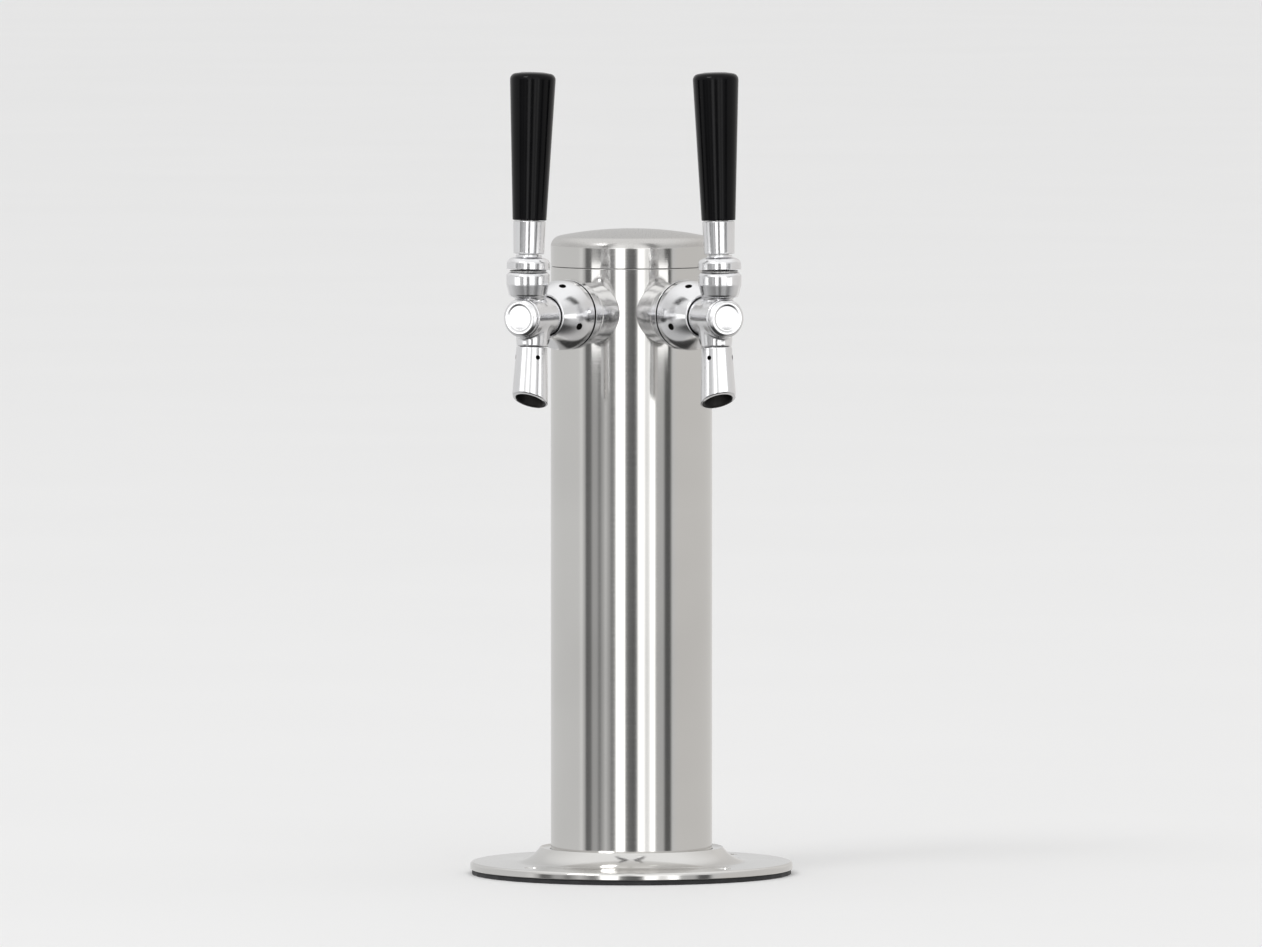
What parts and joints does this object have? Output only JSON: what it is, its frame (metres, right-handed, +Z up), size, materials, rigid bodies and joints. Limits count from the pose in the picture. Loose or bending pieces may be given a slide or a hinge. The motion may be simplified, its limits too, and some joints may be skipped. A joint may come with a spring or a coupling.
{
  "type": "beer tap tower",
  "caption": "Draft beer tower: a steel column on a round flange with a domed cap and angled chrome faucets, each with a black handle that pulls forward.",
  "frame": {"origin": "on the counter, in the middle of the ground that base and faucets cover; the column's axis is 9.6 mm behind it", "axes": "+Z up the column, the faucets face -Y, +X to the right of a person who faces the faucets"},
  "size_m": [0.1524, 0.1713, 0.3811],
  "materials": {
    "polished_steel": "polished stainless steel, with a very fine grain round the tube",
    "satin_steel": "satin stainless steel",
    "chrome": "bright chrome plate over brass",
    "turned_steel": "plain turned stainless steel",
    "brass": "plain brass",
    "black_handle": "glossy black moulded plastic",
    "rubber": "matt black rubber",
    "nylon": "natural nylon",
    "foam": "closed-cell black foam tube"
  },
  "bodies": {
    "tower": {"base_gasket": "rubber", "base_flange": "polished_steel", "column_tube": "polished_steel", "insulation_sleeve": "foam", "left_tail_elbow": "turned_steel", "left_shank_locknut": "brass", "left_saddle_washer": "nylon", "left_shank": "turned_steel", "left_shank_escutcheon": "chrome", "left_coupling_nut": "chrome", "left_coupling_washer": "rubber", "left_snap_ring": "turned_steel", "left_faucet_body": "chrome", "left_spout": "chrome", "left_front_plug": "chrome", "left_ball_seat": "nylon", "left_bonnet": "turned_steel", "right_tail_elbow": "turned_steel", "right_shank_locknut": "brass", "right_saddle_washer": "nylon", "right_shank": "turned_steel", "right_shank_escutcheon": "chrome", "right_coupling_nut": "chrome", "right_coupling_washer": "rubber", "right_snap_ring": "turned_steel", "right_faucet_body": "chrome", "right_spout": "chrome", "right_front_plug": "chrome", "right_ball_seat": "nylon", "right_bonnet": "turned_steel"},
    "cap": {"column_cap": "satin_steel", "cap_ring": "rubber"},
    "left_lever": {"left_lever": "turned_steel", "left_lever_collar": "chrome", "left_handle_ferrule": "chrome", "left_tap_handle": "black_handle"},
    "left_plunger": {"left_plunger": "turned_steel", "left_seat_washer": "rubber", "left_washer_nut": "turned_steel"},
    "right_lever": {"right_lever": "turned_steel", "right_lever_collar": "chrome", "right_handle_ferrule": "chrome", "right_tap_handle": "black_handle"},
    "right_plunger": {"right_plunger": "turned_steel", "right_seat_washer": "rubber", "right_washer_nut": "turned_steel"}
  },
  "joints": [
    {"name": "left_lever_pull", "type": "hinge", "parent": "tower", "child": "left_lever", "pos_m": [-0.04479, -0.07453, 0.2835], "axis": [0.8829, -0.4695, 0], "range_deg": [0, 30]},
    {"name": "left_plunger_slide", "type": "slide", "parent": "tower", "child": "left_plunger", "axis": [0.4695, 0.8829, 0], "range_m": [0, 0.0072]},
    {"name": "right_lever_pull", "type": "hinge", "parent": "tower", "child": "right_lever", "pos_m": [0.04479, -0.07453, 0.2835], "axis": [0.8829, 0.4695, 0], "range_deg": [0, 30]},
    {"name": "right_plunger_slide", "type": "slide", "parent": "tower", "child": "right_plunger", "axis": [-0.4695, 0.8829, 0], "range_m": [0, 0.0072]},
    {"name": "cap_lift", "type": "slide", "parent": "tower", "child": "cap", "axis": [0, 0, 1], "range_m": [0, 0.03]}
  ],
  "couplings": [
    {"joint": "left_plunger_slide", "follows": "left_lever_pull", "m_per_rad": 0.01303},
    {"joint": "right_plunger_slide", "follows": "right_lever_pull", "m_per_rad": 0.01303}
  ]
}
